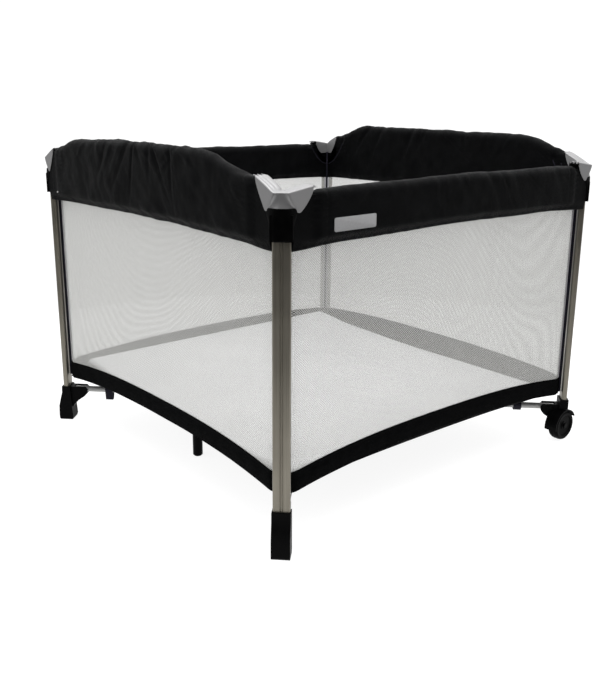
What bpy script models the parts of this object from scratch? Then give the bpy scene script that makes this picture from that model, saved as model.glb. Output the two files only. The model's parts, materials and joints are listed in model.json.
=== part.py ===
"""A folding square playpen: four posts, folding top rails, a rising floor hub, soft sides and a mattress.

Metres, +Z up. The origin is on the ground under the middle of the pen, and the front faces -Y.
Corner k and side k repeat every quarter turn: corner 0 is front left, and side 0 is the front,
which runs from corner 0 to corner 1.
"""

from math import cos, pi, sin, sqrt

import bmesh
import bpy
from mathutils import Vector

MM = 0.001
QUARTER = pi / 2
ROOT2 = sqrt(2)
CORNERS = ("front_left", "front_right", "back_right", "back_left")
# Each side's name, and the names of its two rail halves in the order of the corners.
SIDES = (("front", "left", "right"), ("right", "front", "back"), ("back", "right", "left"),
         ("left", "back", "front"))
WHEELED = ("front_right", "back_right")

# The folding linkage. The rails and the floor tubes close together at every angle, because
# FLOOR_TUBE is ROOT2 times RAIL_HALF and the offsets at their ends are in the same proportion.
HALF_SPAN = 0.485  # pen centre to a post's axis, along X or Y
RAIL_OFFSET = 0.060  # post axis to a rail's corner pivot
LATCH_OFFSET = 0.030  # middle of a side to a latch pivot
RAIL_HALF = HALF_SPAN - RAIL_OFFSET - LATCH_OFFSET
FLOOR_TUBE = ROOT2 * RAIL_HALF
FOOT_PIVOT = 0.036  # post axis to the floor tube's outer pivot, along the diagonal
HUB_PIVOT = ROOT2 * (RAIL_OFFSET + LATCH_OFFSET) - FOOT_PIVOT
RAIL_Z = 0.714
TUBE_Z = 0.087
RAIL_OUTWARD = 0.006  # a rail's axis lies this far outside the line between two posts
TUBE_STUB = 0.012  # how far every tube runs past its pivot
GAP = 0.0004

# Posts: a flat aluminium section, broad side to the corner.
POST_DEPTH = 0.014
POST_WIDTH = 0.036
POST_WALL = 0.002
POST_TOP = 0.690
GROOVE_DEPTH = 0.0012
GROOVE_HALF = 0.0011
GROOVE_PLACE = 0.0022

RAIL_RADIUS = 0.0095
FLOOR_TUBE_RADIUS = 0.008
TUBE_WALL = 0.0015
PIN_RADIUS = 0.003
PIN_PLAY = 0.00025
RIVET_RADIUS = 0.005
RIVET_HEAD = 0.0015

# Corner housings and caps.
HOUSING_BOTTOM = 0.643
HOUSING_TOP = 0.7255
COLLAR_HALF_WIDTH = 0.0215
COLLAR_HALF_DEPTH = 0.0125
FORK_END = 0.070
FORK_PLATE = 0.0022
RAIL_PLAY = 0.0008
CAP_FACE = 0.0212  # the cap's outer side faces, outside the post axis
CAP_INNER = 0.0092  # and its inner ones
CAP_NOSE_TOP = 0.7330
CAP_WALL = 0.0018
# Stations along a cap's arm, from its slanted end to the nose: along and height of the lower edge,
# then of the ridge. The arm on a crowned side climbs, and the one on a flat side runs nearly level.
CAP_CLIMBING = (
    (0.0520, 0.7520, 0.0535, 0.7582),
    (0.0475, 0.7395, 0.0450, 0.7548),
    (0.0393, 0.7230, 0.0330, 0.7495),
    (0.0300, 0.7075, 0.0170, 0.7420),
    (0.0234, 0.6985, -0.0005, CAP_NOSE_TOP),
)
CAP_LEVEL = (
    (0.0578, 0.7345, 0.0583, 0.7412),
    (0.0520, 0.7225, 0.0470, 0.7396),
    (0.0430, 0.7100, 0.0340, 0.7380),
    (0.0345, 0.7010, 0.0180, 0.7353),
    (0.0270, 0.6955, -0.0005, CAP_NOSE_TOP),
)

# Feet and wheels.
FOOT_HALF_WIDTH = 0.0197
GUSSET_HALF_WIDTH = 0.013
WHEEL_RADIUS = 0.040
WHEEL_WIDTH = 0.028
WHEEL_OUTER = 0.021  # the wheel's outer face, outside the post axis
WHEEL_SIDEWAYS = 0.0095
AXLE_RADIUS = 0.004
CHEEK = (0.0087, 0.0145)
HOOD_SPAN = (-0.1, 1.69)  # quarter turns round the wheel, from its inboard side over the top

# Hub and support arms.
HUB_RADIUS = 0.056
HUB_BOTTOM = 0.070
HUB_TOP = 0.105
ARM_PIVOT = 0.082
ARM_ASIDE = 0.033
LEG_REACH = 0.347
LEG_RADIUS = 0.0125

# Soft parts.
WALL_HALF = 0.464
WALL_BOTTOM = 0.126
WALL_TOP = 0.627
BAND_HEIGHT = 0.043
WALL_ARCH = 0.023  # how far the lower edge rises in the middle of a side
WALL_BOW = 0.0125  # and how far it is drawn in towards the pen
WALL_THICKNESS = 0.002
COVER_HALF = 0.4255
COVER_BOTTOM = 0.628
COVER_LOW_TOP = 0.735
COVER_CROWN = 0.795
COVER_CROWN_END = 0.757
COVER_HALF_THICKNESS = 0.0175
COVER_CHANNEL = 0.0135
COVER_ROOF = 0.7275
PAD_HALF = 0.434
PAD_BOTTOM = 0.128
PAD_TOP = 0.154
PAD_SEAM = 0.0008
PAD_HINGE_GAP = 0.0005
PAD_LIFT_AXIS = (-0.176, 0.262)  # y and z of the line about which the whole mattress stands up
FLOOR_HALF = 0.460
FLOOR_BOTTOM = 0.1235
FLOOR_TOP = 0.1255

PALETTE = {
    "aluminium": ((0.46, 0.455, 0.43), 0.38, 1.0),
    "steel": ((0.50, 0.50, 0.49), 0.35, 1.0),
    "black_plastic": ((0.010, 0.010, 0.011), 0.42, 0.0),
    "grey_plastic": ((0.36, 0.36, 0.365), 0.38, 0.0),
    "black_fabric": ((0.012, 0.013, 0.014), 0.85, 0.0),
    "mesh_fabric": ((0.72, 0.72, 0.70), 0.8, 0.0),
    "pad_fabric": ((0.76, 0.76, 0.77), 0.8, 0.0),
    "rubber": ((0.014, 0.014, 0.015), 0.6, 0.0),
}


# ---------------------------------------------------------------- scene and helpers


def clear_scene():
    for old in list(bpy.data.objects):
        bpy.data.objects.remove(old)


def make_materials():
    made = {}
    for name, (colour, roughness, metallic) in PALETTE.items():
        material = bpy.data.materials.new(name)
        material.use_nodes = True
        shader = material.node_tree.nodes["Principled BSDF"]
        shader.inputs["Base Color"].default_value = (*colour, 1.0)
        shader.inputs["Roughness"].default_value = roughness
        shader.inputs["Metallic"].default_value = metallic
        made[name] = material
    return made


def make_empty(name, location, turn):
    empty = bpy.data.objects.new(name, None)
    empty.location = location
    empty.rotation_euler = (0.0, 0.0, turn)
    bpy.context.scene.collection.objects.link(empty)
    return empty


def new_object(name, bm, parent, origin=(0.0, 0.0, 0.0), material=None):
    """Turns a bmesh drawn in its parent's frame into an object whose own origin is at origin."""
    bmesh.ops.recalc_face_normals(bm, faces=bm.faces)
    bmesh.ops.translate(bm, verts=bm.verts, vec=-Vector(origin))
    mesh = bpy.data.meshes.new(name)
    bm.to_mesh(mesh)
    bm.free()
    mesh.shade_smooth()
    mesh.set_sharp_from_angle(angle=pi / 6)
    made = bpy.data.objects.new(name, mesh)
    made.parent = parent
    made.location = origin
    if material:
        mesh.materials.append(material)
    bpy.context.scene.collection.objects.link(made)
    return made


def combine(target, bm, parent, operation):
    """Adds or cuts a second shape, kept as a hidden guide beside the target."""
    guide = new_object(target.name + "_guide", bm, parent)
    guide.hide_render = True
    guide.display_type = "WIRE"
    modifier = target.modifiers.new(operation.lower(), "BOOLEAN")
    modifier.operation = operation
    modifier.solver = "EXACT"
    modifier.object = guide


def add_shape(target, bm, parent):
    combine(target, bm, parent, "UNION")


def cut_shape(target, bm, parent):
    combine(target, bm, parent, "DIFFERENCE")


def skin(points, rings):
    """A solid from rings of points: sides between neighbours, and an end face on the first and last."""
    bm = bmesh.new()
    size = len(points) // rings
    verts = [bm.verts.new(p) for p in points]
    for ring in range(rings - 1):
        for i in range(size):
            j = (i + 1) % size
            a, b = ring * size, (ring + 1) * size
            bm.faces.new((verts[a + i], verts[a + j], verts[b + j], verts[b + i]))
    bm.faces.new(verts[:size][::-1])
    bm.faces.new(verts[-size:])
    return bm


def prism(outline, place, low, high):
    """An outline of (a, b) points, swept from low to high; place(a, b, c) gives each point in the frame."""
    return skin([place(a, b, c) for c in (low, high) for a, b in outline], 2)


def pipe_section(outer, inner, place, low, high):
    """A hollow section from two outlines of equally many points."""
    bm = bmesh.new()
    loops = [[bm.verts.new(place(a, b, c)) for a, b in ring] for c in (low, high) for ring in (outer, inner)]
    bottom_out, bottom_in, top_out, top_in = loops
    count = len(outer)
    for i in range(count):
        j = (i + 1) % count
        bm.faces.new((bottom_out[i], bottom_out[j], top_out[j], top_out[i]))
        bm.faces.new((bottom_in[j], bottom_in[i], top_in[i], top_in[j]))
        bm.faces.new((bottom_out[j], bottom_out[i], bottom_in[i], bottom_in[j]))
        bm.faces.new((top_out[i], top_out[j], top_in[j], top_in[i]))
    return bm


def arc(centre_a, centre_b, radius, start, end, steps):
    """Points on an arc, with angles in quarter turns."""
    angles = [(start + (end - start) * i / steps) * QUARTER for i in range(steps + 1)]
    return [(centre_a + radius * cos(t), centre_b + radius * sin(t)) for t in angles]


def circle(radius, steps, centre_a=0.0, centre_b=0.0):
    return arc(centre_a, centre_b, radius, 0, 4, steps)[:-1]


def rounded_box(half_a, half_b, radius, steps):
    points = arc(half_a - radius, half_b - radius, radius, 0, 1, steps)
    points += arc(radius - half_a, half_b - radius, radius, 1, 2, steps)
    points += arc(radius - half_a, radius - half_b, radius, 2, 3, steps)
    points += arc(half_a - radius, radius - half_b, radius, 3, 4, steps)
    return points


def box_outline(low_a, high_a, low_b, high_b):
    return [(low_a, low_b), (high_a, low_b), (high_a, high_b), (low_a, high_b)]


def turned(profile, place, steps, bored):
    """A round body from (radius, along) points. Where bored, the profile closes on itself round the hole."""
    points = []
    for i in range(steps):
        angle = 2 * pi * i / steps
        points += [place(r * cos(angle), r * sin(angle), along) for r, along in profile]
    bm = bmesh.new()
    verts = [bm.verts.new(p) for p in points]
    size = len(profile)
    for i in range(steps):
        a, b = i * size, (i + 1) % steps * size
        for j in range(size if bored else size - 1):
            k = (j + 1) % size
            bm.faces.new((verts[a + j], verts[a + k], verts[b + k], verts[b + j]))
    if not bored:
        bm.faces.new([verts[i * size] for i in range(steps)])
        bm.faces.new([verts[i * size + size - 1] for i in range(steps)])
    return bm


# Places: how an outline's two directions and the sweep lie in a frame.


def upright(a, b, c):
    return (a, b, c)


def across_y(a, b, c):
    return (a, c, b)


def corner_plan(r, w, z):
    """r outward along the corner's diagonal, w sideways."""
    return ((w - r) / ROOT2, (-w - r) / ROOT2, z)


def corner_profile(r, z, w):
    return corner_plan(r, w, z)


def mirrored(place):
    """The same place with the frame's x and y exchanged."""

    def swapped(a, b, c):
        x, y, z = place(a, b, c)
        return (y, x, z)

    return swapped


def pin_profile(half_length, heads):
    """A pin along its own axis, with rivet heads outside the plates it joins."""
    if not heads:
        return [(PIN_RADIUS, -half_length), (PIN_RADIUS, half_length)]
    inside = half_length - 0.0004
    outside = half_length + RIVET_HEAD
    return [(RIVET_RADIUS, -outside), (RIVET_RADIUS, -inside), (PIN_RADIUS, -inside),
            (PIN_RADIUS, inside), (RIVET_RADIUS, inside), (RIVET_RADIUS, outside)]


# ---------------------------------------------------------------- posts, feet and wheels


def post_outline(grow, groove):
    """The section as (r, w) points, with two grooves in the outer face."""
    half_r = POST_DEPTH / 2 + grow
    half_w = POST_WIDTH / 2 + grow
    radius = 0.0045 + grow
    corners = rounded_box(half_r, half_w, radius, 2)
    first, rest = corners[:3], corners[3:]
    grooves = []
    for centre in (-GROOVE_PLACE, GROOVE_PLACE):
        grooves += [(half_r, centre - GROOVE_HALF), (half_r - groove, centre), (half_r, centre + GROOVE_HALF)]
    return grooves + first + rest


def make_post(corner, frame, bottom, material):
    outer = post_outline(0.0, GROOVE_DEPTH)
    inner = post_outline(-POST_WALL, 0.0)
    bm = pipe_section(outer, inner, corner_plan, bottom, POST_TOP)
    return new_object("post_" + corner, bm, frame, (0.0, 0.0, 0.0), material)


def gusset_outline():
    """The fork that carries the floor tube, as (r, z)."""
    return [(0.0, 0.034), (0.0, 0.0965), (-0.052, 0.0965), (-0.0595, 0.088), (-0.058, 0.078), (-0.050, 0.068),
            (-0.034, 0.057), (-0.021, 0.045), (-0.014, 0.034)]


def fork_floor_pivot(target, frame):
    """Opens the gusset for the tube and puts the pin back across it."""
    stub_room = FOOT_PIVOT - TUBE_STUB - 0.0035
    slot = box_outline(-0.080, -stub_room, 0.0705, 0.120)
    play = FLOOR_TUBE_RADIUS + RAIL_PLAY
    cut_shape(target, prism(slot, corner_profile, -play, play), frame)

    def across(a, b, c):
        return corner_plan(a - FOOT_PIVOT, c, b + TUBE_Z)

    add_shape(target, turned(pin_profile(GUSSET_HALF_WIDTH, True), across, 12, False), frame)


def make_foot(corner, frame, material):
    sleeve = [(0.0205, 0.0), (0.0230, 0.004), (0.0235, 0.014), (0.0225, 0.040), (0.0170, 0.062), (0.0120, 0.080),
              (0.0115, 0.098), (-0.0110, 0.098), (-0.0125, 0.080), (-0.0145, 0.035), (-0.0165, 0.008),
              (-0.0140, 0.0)]
    bm = prism(sleeve, corner_profile, -FOOT_HALF_WIDTH, FOOT_HALF_WIDTH)
    foot = new_object("foot_" + corner, bm, frame, (0.0, 0.0, 0.0), material)
    add_shape(foot, prism(gusset_outline(), corner_profile, -GUSSET_HALF_WIDTH, GUSSET_HALF_WIDTH), frame)
    cut_shape(foot, prism(post_outline(GAP, 0.0), corner_plan, 0.0116, 0.110), frame)
    fork_floor_pivot(foot, frame)
    return foot


def wheel_places(corner):
    """Frames for the wheel: p along the axle, inward positive, and q along the way it rolls."""

    def side_view(q, z, p):
        return (p, q, z)

    def along_axle(a, b, c):
        return (c, WHEEL_SIDEWAYS + a, WHEEL_RADIUS + b)

    if corner == "back_right":
        return mirrored(side_view), mirrored(along_axle)
    return side_view, along_axle


def make_wheel_bracket(corner, frame, material):
    side_view, along_axle = wheel_places(corner)
    block = box_outline(-0.0115, 0.0115, -FOOT_HALF_WIDTH, FOOT_HALF_WIDTH)
    bm = prism(block, corner_plan, 0.0865, 0.112)
    bracket = new_object("wheel_bracket_" + corner, bm, frame, (0.0, 0.0, 0.0), material)
    add_shape(bracket, prism(gusset_outline(), corner_profile, -GUSSET_HALF_WIDTH, GUSSET_HALF_WIDTH), frame)
    hood_outer = arc(WHEEL_SIDEWAYS, WHEEL_RADIUS, WHEEL_RADIUS + 0.0050, *HOOD_SPAN, 12)
    hood_inner = arc(WHEEL_SIDEWAYS, WHEEL_RADIUS, WHEEL_RADIUS + 0.0018, *reversed(HOOD_SPAN), 12)
    add_shape(bracket, prism(hood_outer + hood_inner, side_view, -WHEEL_OUTER - 0.001, CHEEK[1] - 0.001), frame)
    cheek = [(-0.010, 0.0905), (-0.006, 0.050)]
    cheek += arc(WHEEL_SIDEWAYS, WHEEL_RADIUS, 0.0135, 2, 4, 6)
    cheek += [(0.025, 0.050), (0.030, 0.0905)]
    add_shape(bracket, prism(cheek, side_view, *CHEEK), frame)
    room = circle(WHEEL_RADIUS + 0.0015, 24)
    cut_shape(bracket, prism(room, along_axle, -0.080, CHEEK[0] - 0.0003), frame)
    cut_shape(bracket, prism(circle(AXLE_RADIUS + 0.0003, 12), along_axle, -0.080, 0.080), frame)
    cut_shape(bracket, prism(post_outline(GAP, 0.0), corner_plan, 0.0980, 0.130), frame)
    fork_floor_pivot(bracket, frame)
    return bracket


def make_wheel(corner, frame, materials):
    _, along_axle = wheel_places(corner)
    outer = -WHEEL_OUTER
    inner = WHEEL_WIDTH - WHEEL_OUTER
    bore = AXLE_RADIUS + 0.0002
    profile = [(bore, outer + 0.002), (0.010, outer + 0.002), (0.012, outer + 0.0045), (0.029, outer + 0.0045),
               (0.031, outer), (0.037, outer), (WHEEL_RADIUS, outer + 0.003), (WHEEL_RADIUS, inner - 0.003),
               (0.037, inner), (bore, inner)]
    centre = along_axle(0.0, 0.0, 0.0)
    rim = turned(profile, along_axle, 32, True)
    wheel = new_object("wheel_" + corner, rim, frame, centre, materials["rubber"])
    shaft = [(0.0070, outer - 0.0015), (0.0070, outer + 0.0015), (AXLE_RADIUS, outer + 0.0015),
             (AXLE_RADIUS, CHEEK[1] + 0.004)]
    new_object("wheel_axle_" + corner, turned(shaft, along_axle, 16, False), frame, centre, materials["steel"])
    return wheel


# ---------------------------------------------------------------- corner housings and caps


def arm_outline():
    """A housing arm seen from its side, as (x, z), from the post to the end of the fork."""
    return [(0.004, 0.662), (0.020, 0.662), (0.030, 0.672), (0.040, 0.690), (0.054, 0.702), (FORK_END, 0.7045),
            (FORK_END, HOUSING_TOP), (0.028, HOUSING_TOP), (0.028, 0.692), (0.004, 0.692)]


def bridge_outline():
    """The block over the post that joins the two arms, as (x, y), kept inside the cap."""
    half = [(0.034, 0.0062), (0.034, -0.0182), (0.028, -0.0175), (0.008, -0.0140), (0.001, -0.0120)]
    return half + [(-0.0062, -0.0062)] + [(y, x) for x, y in reversed(half)] + [(0.0062, 0.0062)]


def make_housing(corner, frame, material):
    collar = box_outline(-COLLAR_HALF_DEPTH, COLLAR_HALF_DEPTH, -COLLAR_HALF_WIDTH, COLLAR_HALF_WIDTH)
    bm = prism(collar, corner_plan, HOUSING_BOTTOM, 0.6925)
    housing = new_object("corner_housing_" + corner, bm, frame, (0.0, 0.0, 0.0), material)
    play = RAIL_RADIUS + RAIL_PLAY
    outer = play + FORK_PLATE
    for place in (across_y, mirrored(across_y)):
        add_shape(housing, prism(arm_outline(), place, -RAIL_OUTWARD - outer, -RAIL_OUTWARD + outer), frame)
    add_shape(housing, prism(bridge_outline(), upright, 0.6910, HOUSING_TOP - 0.0005), frame)
    stub_room = RAIL_OFFSET - TUBE_STUB - 0.0045
    slot = box_outline(stub_room, 0.090, 0.600, 0.800)
    for place in (across_y, mirrored(across_y)):
        cut_shape(housing, prism(slot, place, -RAIL_OUTWARD - play, -RAIL_OUTWARD + play), frame)

        def along_pin(a, b, c, place=place):
            return place(RAIL_OFFSET + a, RAIL_Z + b, c - RAIL_OUTWARD)

        add_shape(housing, turned(pin_profile(outer - 0.0005, False), along_pin, 12, False), frame)
    cut_shape(housing, prism(post_outline(GAP, 0.0), corner_plan, 0.600, POST_TOP + GAP), frame)
    return housing


def cap_arm(stations):
    """Sections round one arm of the cap and half of its nose, along x, from the arm's end to the middle.

    Each is the outer lower edge, the outer ridge, the inner ridge and the inner lower edge.
    """
    sections = []
    for low_x, low_z, top_x, top_z in stations:
        outer_low = (low_x, -CAP_FACE, low_z)
        outer_top = (top_x, -CAP_FACE, top_z)
        inner_top = (max(top_x, CAP_INNER + 0.0035), CAP_INNER, top_z + 0.001)
        inner_low = (max(low_x, CAP_INNER + 0.0100), CAP_INNER, max(low_z, 0.7035))
        sections.append((outer_low, outer_top, inner_top, inner_low))
    outer_low = (0.0085, -0.0183, 0.7005)
    outer_top = (-0.0045, -0.0142, CAP_NOSE_TOP)
    inner_top = (CAP_INNER + 0.0015, CAP_INNER, CAP_NOSE_TOP + 0.0015)
    inner_low = (CAP_INNER + 0.0040, CAP_INNER, 0.7040)
    return sections + [(outer_low, outer_top, inner_top, inner_low)]


def cap_section(outer_low, outer_top, inner_top, inner_low):
    """One section's points, from the outer lower edge over the ribbed top to the inner lower edge."""
    outer_low, outer_top, inner_top, inner_low = map(Vector, (outer_low, outer_top, inner_top, inner_low))
    flare = outer_low.lerp(outer_top, 0.4)
    flare.x += (outer_top.x - outer_low.x) * 0.2
    flare.y += (outer_top.y - outer_low.y) * 0.2
    outer_rib = outer_top.lerp(inner_top, 0.25) + Vector((0.0, 0.0, 0.0022))
    inner_rib = outer_top.lerp(inner_top, 0.75) + Vector((0.0, 0.0, 0.0016))
    return [outer_low, flare, outer_top, outer_rib, inner_rib, inner_top, inner_low]


def swapped_axes(section):
    return [(y, x, z) for x, y, z in section]


def make_cap(corner, frame, climbing_along_x, material):
    along_x, along_y = (CAP_CLIMBING, CAP_LEVEL) if climbing_along_x else (CAP_LEVEL, CAP_CLIMBING)
    nose = ((-0.0120, -0.0120, 0.7030), (-0.0088, -0.0088, CAP_NOSE_TOP),
            (CAP_INNER, CAP_INNER, CAP_NOSE_TOP + 0.0020), (CAP_INNER, CAP_INNER, 0.7045))
    sections = cap_arm(along_x) + [nose] + [swapped_axes(section) for section in reversed(cap_arm(along_y))]
    bm = bmesh.new()
    grid = [[bm.verts.new(p) for p in cap_section(*section)] for section in sections]
    for left, right in zip(grid, grid[1:]):
        for i in range(len(left) - 1):
            bm.faces.new((left[i], left[i + 1], right[i + 1], right[i]))
    bmesh.ops.triangulate(bm, faces=bm.faces, quad_method="FIXED")
    bm.normal_update()
    if sum(f.normal.z * f.calc_area() for f in bm.faces) < 0:
        bmesh.ops.reverse_faces(bm, faces=bm.faces)
    mesh = bpy.data.meshes.new("corner_cap_" + corner)
    bm.to_mesh(mesh)
    bm.free()
    mesh.shade_smooth()
    mesh.set_sharp_from_angle(angle=pi / 6)
    mesh.materials.append(material)
    cap = bpy.data.objects.new("corner_cap_" + corner, mesh)
    cap.parent = frame
    bpy.context.scene.collection.objects.link(cap)
    shell = cap.modifiers.new("shell", "SOLIDIFY")
    shell.thickness = CAP_WALL
    shell.offset = -1.0
    shell.use_even_offset = False
    return cap


# ---------------------------------------------------------------- tubes, rails and latches


def tube(length_from, length_to, radius, place, steps):
    outer = circle(radius, steps)
    inner = circle(radius - TUBE_WALL, steps)
    return pipe_section(outer, inner, place, length_from, length_to)


def drill(target, x, aside, z, radius, frame, place_pin):
    cut_shape(target, prism(circle(PIN_RADIUS + PIN_PLAY, 12), place_pin(x, z), aside - radius * 2,
                            aside + radius * 2), frame)


def pin_across_y(x, z):
    def place(a, b, c):
        return (x + a, c, z + b)

    return place


def make_rail_half(name, frame, towards, material):
    """A rail half in its side's frame: towards is -1 for the half at the side's first corner."""
    y = -HALF_SPAN - RAIL_OUTWARD
    corner_x = towards * (HALF_SPAN - RAIL_OFFSET)
    latch_x = towards * LATCH_OFFSET

    def along_x(a, b, c):
        return (c, y + a, RAIL_Z + b)

    bm = tube(latch_x - towards * TUBE_STUB, corner_x + towards * TUBE_STUB, RAIL_RADIUS, along_x, 16)
    rail = new_object(name, bm, frame, (corner_x, y, RAIL_Z), material)
    for x in (corner_x, latch_x):
        drill(rail, x, y, RAIL_Z, RAIL_RADIUS, frame, pin_across_y)
    return rail


def make_latch(side, frame, materials):
    """The U-shaped middle joint of a top rail, open above, and its release button below."""
    y = -HALF_SPAN - RAIL_OUTWARD
    play = RAIL_RADIUS + RAIL_PLAY
    outer = play + 0.0020
    half_length = 0.042
    floor_top = RAIL_Z - 0.0165
    floor_bottom = floor_top - 0.0025
    section = [(-outer, floor_bottom), (outer, floor_bottom), (outer, RAIL_Z + 0.0055), (play, RAIL_Z + 0.0055),
               (play, floor_top), (-play, floor_top), (-play, RAIL_Z + 0.0055), (-outer, RAIL_Z + 0.0055)]

    def along_x(a, b, c):
        return (c, y + a, b)

    pivot = (-LATCH_OFFSET, y, RAIL_Z)
    latch = new_object(side + "_latch_housing", prism(section, along_x, -half_length, half_length), frame, pivot,
                       materials["black_plastic"])
    window = box_outline(-0.0110, 0.0110, y - 0.0070, y + 0.0070)
    cut_shape(latch, prism(window, upright, floor_bottom - 0.005, floor_top + 0.005), frame)
    for x in (-LATCH_OFFSET, LATCH_OFFSET):

        def along_pin(a, b, c, x=x):
            return (x + a, y + c, RAIL_Z + b)

        add_shape(latch, turned(pin_profile(outer - 0.0005, False), along_pin, 12, False), frame)

    half_x, half_y = 0.0100, 0.0060
    flange = 0.0125
    stem = floor_bottom - 0.008
    profile = [(-half_x, stem), (half_x, stem), (half_x, floor_top + 0.0005), (flange, floor_top + 0.0005),
               (flange, floor_top + 0.003), (half_x, floor_top + 0.004), (half_x, floor_top + 0.008),
               (-half_x, floor_top + 0.008), (-half_x, floor_top + 0.004), (-flange, floor_top + 0.003),
               (-flange, floor_top + 0.0005), (-half_x, floor_top + 0.0005)]
    new_object(side + "_release_button", prism(profile, across_y, y - half_y, y + half_y), frame,
               (0.0, y, floor_top), materials["grey_plastic"])


def make_floor_tube(corner, frame, material):
    """In a frame turned so that the corner lies along -X."""
    outer_x = FOOT_PIVOT - HALF_SPAN * ROOT2
    inner_x = -HUB_PIVOT

    def along_x(a, b, c):
        return (c, a, TUBE_Z + b)

    bm = tube(outer_x - TUBE_STUB, inner_x + TUBE_STUB, FLOOR_TUBE_RADIUS, along_x, 16)
    made = new_object("floor_tube_" + corner, bm, frame, (inner_x, 0.0, TUBE_Z), material)
    for x in (outer_x, inner_x):
        drill(made, x, 0.0, TUBE_Z, FLOOR_TUBE_RADIUS, frame, pin_across_y)
    return made


def hub_fork(pivot, turn, aside):
    """Outline places of one fork of the hub: turned about Z, with an offset sideways."""

    def place(a, b, c):
        x, y = a, c + aside
        return (x * cos(turn) - y * sin(turn), x * sin(turn) + y * cos(turn), b)

    def along_pin(a, b, c):
        return place(pivot + a, TUBE_Z + b, c)

    return place, along_pin


def make_hub(frame, material):
    hub = new_object("floor_hub", prism(circle(HUB_RADIUS, 32), upright, HUB_BOTTOM, HUB_TOP), frame,
                     (0.0, 0.0, TUBE_Z), material)
    forks = [(HUB_PIVOT, (0.5 + k) * QUARTER, 0.0) for k in range(4)]
    forks += [(ARM_PIVOT, 0.0, -ARM_ASIDE), (ARM_PIVOT, 2 * QUARTER, -ARM_ASIDE)]
    play = FLOOR_TUBE_RADIUS + RAIL_PLAY
    outer = play + 0.0032
    for pivot, turn, aside in forks:
        place, _ = hub_fork(pivot, turn, aside)
        ear = [(0.030, HUB_BOTTOM + 0.004), (pivot + 0.004, HUB_BOTTOM + 0.004), (pivot + 0.011, TUBE_Z - 0.006),
               (pivot + 0.011, TUBE_Z + 0.006), (pivot + 0.004, HUB_TOP - 0.001), (0.030, HUB_TOP - 0.001)]
        add_shape(hub, prism(ear, place, -outer, outer), frame)
    for pivot, turn, aside in forks:
        place, _ = hub_fork(pivot, turn, aside)
        room = box_outline(pivot - TUBE_STUB - 0.0035, pivot + 0.040, 0.050, 0.130)
        cut_shape(hub, prism(room, place, -play, play), frame)
    for pivot, turn, aside in forks:
        _, along_pin = hub_fork(pivot, turn, aside)
        add_shape(hub, turned(pin_profile(outer, True), along_pin, 12, False), frame)
    return hub


def make_pull_strap(frame, material):
    """The webbing loop that lifts the hub, lying folded on top of it."""
    low, high = HUB_TOP + 0.0004, HUB_TOP + 0.0029
    loop = rounded_box(0.060, 0.0125, 0.0124, 4)
    return new_object("hub_pull_strap", prism(loop, upright, low, high), frame, (0.0, 0.0, low), material)


def make_support_arm(side, frame, materials):
    """The arm at the left, in a frame that is turned by half for the one at the right."""
    y = ARM_ASIDE

    def along_x(a, b, c):
        return (c, y + a, TUBE_Z + b)

    inner_x = -ARM_PIVOT
    pivot = (inner_x, y, TUBE_Z)
    socket = LEG_REACH - LEG_RADIUS - 0.012
    bm = tube(-socket - 0.010, inner_x + TUBE_STUB, FLOOR_TUBE_RADIUS, along_x, 16)
    arm = new_object("support_arm_" + side, bm, frame, pivot, materials["steel"])
    drill(arm, inner_x, y, TUBE_Z, FLOOR_TUBE_RADIUS, frame, pin_across_y)
    leg_profile = [(LEG_RADIUS - 0.003, 0.0), (LEG_RADIUS, 0.003), (LEG_RADIUS, TUBE_Z + 0.008),
                   (LEG_RADIUS - 0.002, TUBE_Z + 0.0115)]

    def down(a, b, c):
        return (-LEG_REACH + a, y + b, c)

    leg = new_object("support_leg_" + side, turned(leg_profile, down, 20, False), frame, pivot,
                     materials["black_plastic"])
    add_shape(leg, prism(circle(0.0112, 16), along_x, -LEG_REACH, -socket + 0.012), frame)
    cut_shape(leg, prism(circle(FLOOR_TUBE_RADIUS + GAP, 16), along_x, -socket - 0.0104, -socket + 0.030), frame)


# ---------------------------------------------------------------- soft parts


def wall_place(x, part):
    """How far in towards the pen, and how high, a side's cloth lies.

    part is -1 at the cloth's lower edge, 0 at the top of its band and 1 under the rail cover.
    """
    along = 1.0 - (abs(x) / WALL_HALF) ** 2.6
    band_top = WALL_BOTTOM + BAND_HEIGHT + WALL_ARCH * along
    if part < 0.0:
        return WALL_BOW * along, band_top + BAND_HEIGHT * part
    return WALL_BOW * along * (1.0 - part), band_top + (WALL_TOP - band_top) * part


def make_wall(side, frame, material):
    columns = 14
    parts = (-1.0, 0.0, 0.5, 1.0)
    bm = bmesh.new()
    sheets = []
    for inward in (0.0, WALL_THICKNESS):
        rows = []
        for part in parts:
            row = []
            for i in range(columns + 1):
                x = WALL_HALF * (2 * i / columns - 1)
                inset, z = wall_place(x, part)
                row.append(bm.verts.new((x, -HALF_SPAN + inset + inward, z)))
            rows.append(row)
        sheets.append(rows)
    outer, inner = sheets
    last = len(parts) - 1
    for r in range(last):
        for c in range(columns):
            for rows in sheets:
                bm.faces.new((rows[r][c], rows[r][c + 1], rows[r + 1][c + 1]))
                bm.faces.new((rows[r][c], rows[r + 1][c + 1], rows[r + 1][c]))
        for c in (0, columns):
            bm.faces.new((outer[r][c], outer[r + 1][c], inner[r + 1][c], inner[r][c]))
    for r in (0, last):
        for c in range(columns):
            bm.faces.new((outer[r][c], outer[r][c + 1], inner[r][c + 1], inner[r][c]))
    bmesh.ops.triangulate(bm, faces=bm.faces, quad_method="FIXED")
    return new_object(side + "_mesh_wall", bm, frame, (0.0, 0.0, 0.0), material)


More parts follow.
